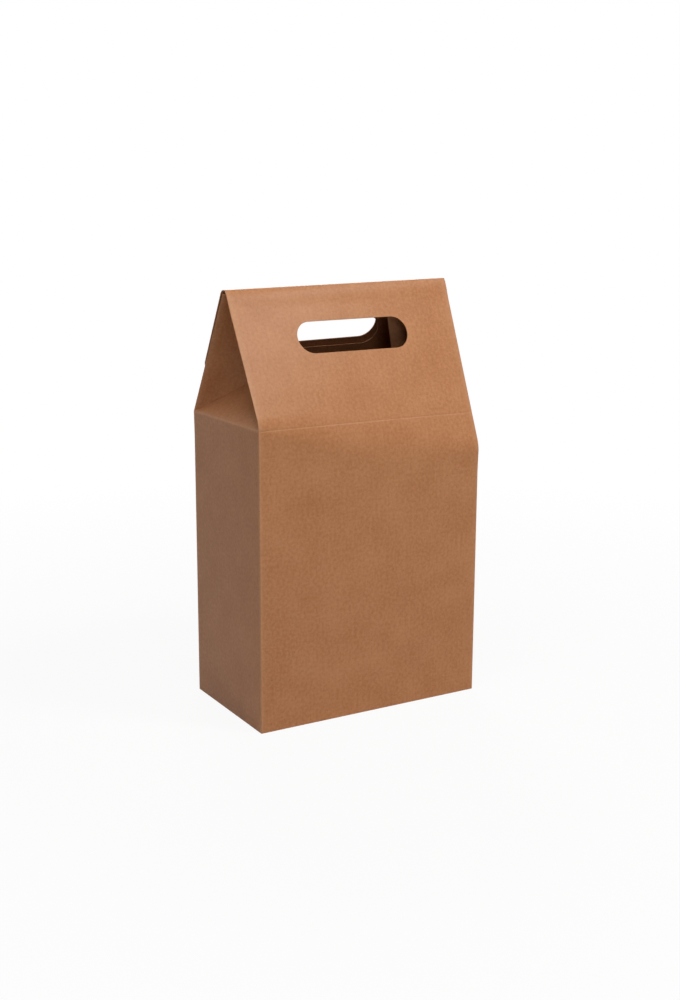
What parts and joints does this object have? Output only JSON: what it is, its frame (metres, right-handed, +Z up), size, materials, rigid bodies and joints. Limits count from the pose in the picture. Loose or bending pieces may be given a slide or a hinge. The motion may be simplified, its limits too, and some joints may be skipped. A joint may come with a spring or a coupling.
{
  "type": "cardboard gift box",
  "caption": "Tall kraft cardboard gift box with a gable roof, ends folded in under the roof, a hand slot through the roof and a flap that closes over the ridge.",
  "frame": {"origin": "middle of the base on the floor", "axes": "+X to the right along the front wall, +Y from the front wall to the back wall, +Z up"},
  "size_m": [0.1802, 0.103, 0.3058],
  "materials": {
    "kraft_board": "uncoated brown kraft board, matt, with fine fibre clouding"
  },
  "bodies": {
    "carton": {"carton": "kraft_board"},
    "closing_flap": {"closing_flap": "kraft_board"}
  },
  "joints": [
    {"name": "flap_hinge", "type": "hinge", "parent": "carton", "child": "closing_flap", "pos_m": [0, -0.00275, 0.30377], "axis": [0.9998, 0, 0.0182], "range_deg": [0, 120]}
  ]
}
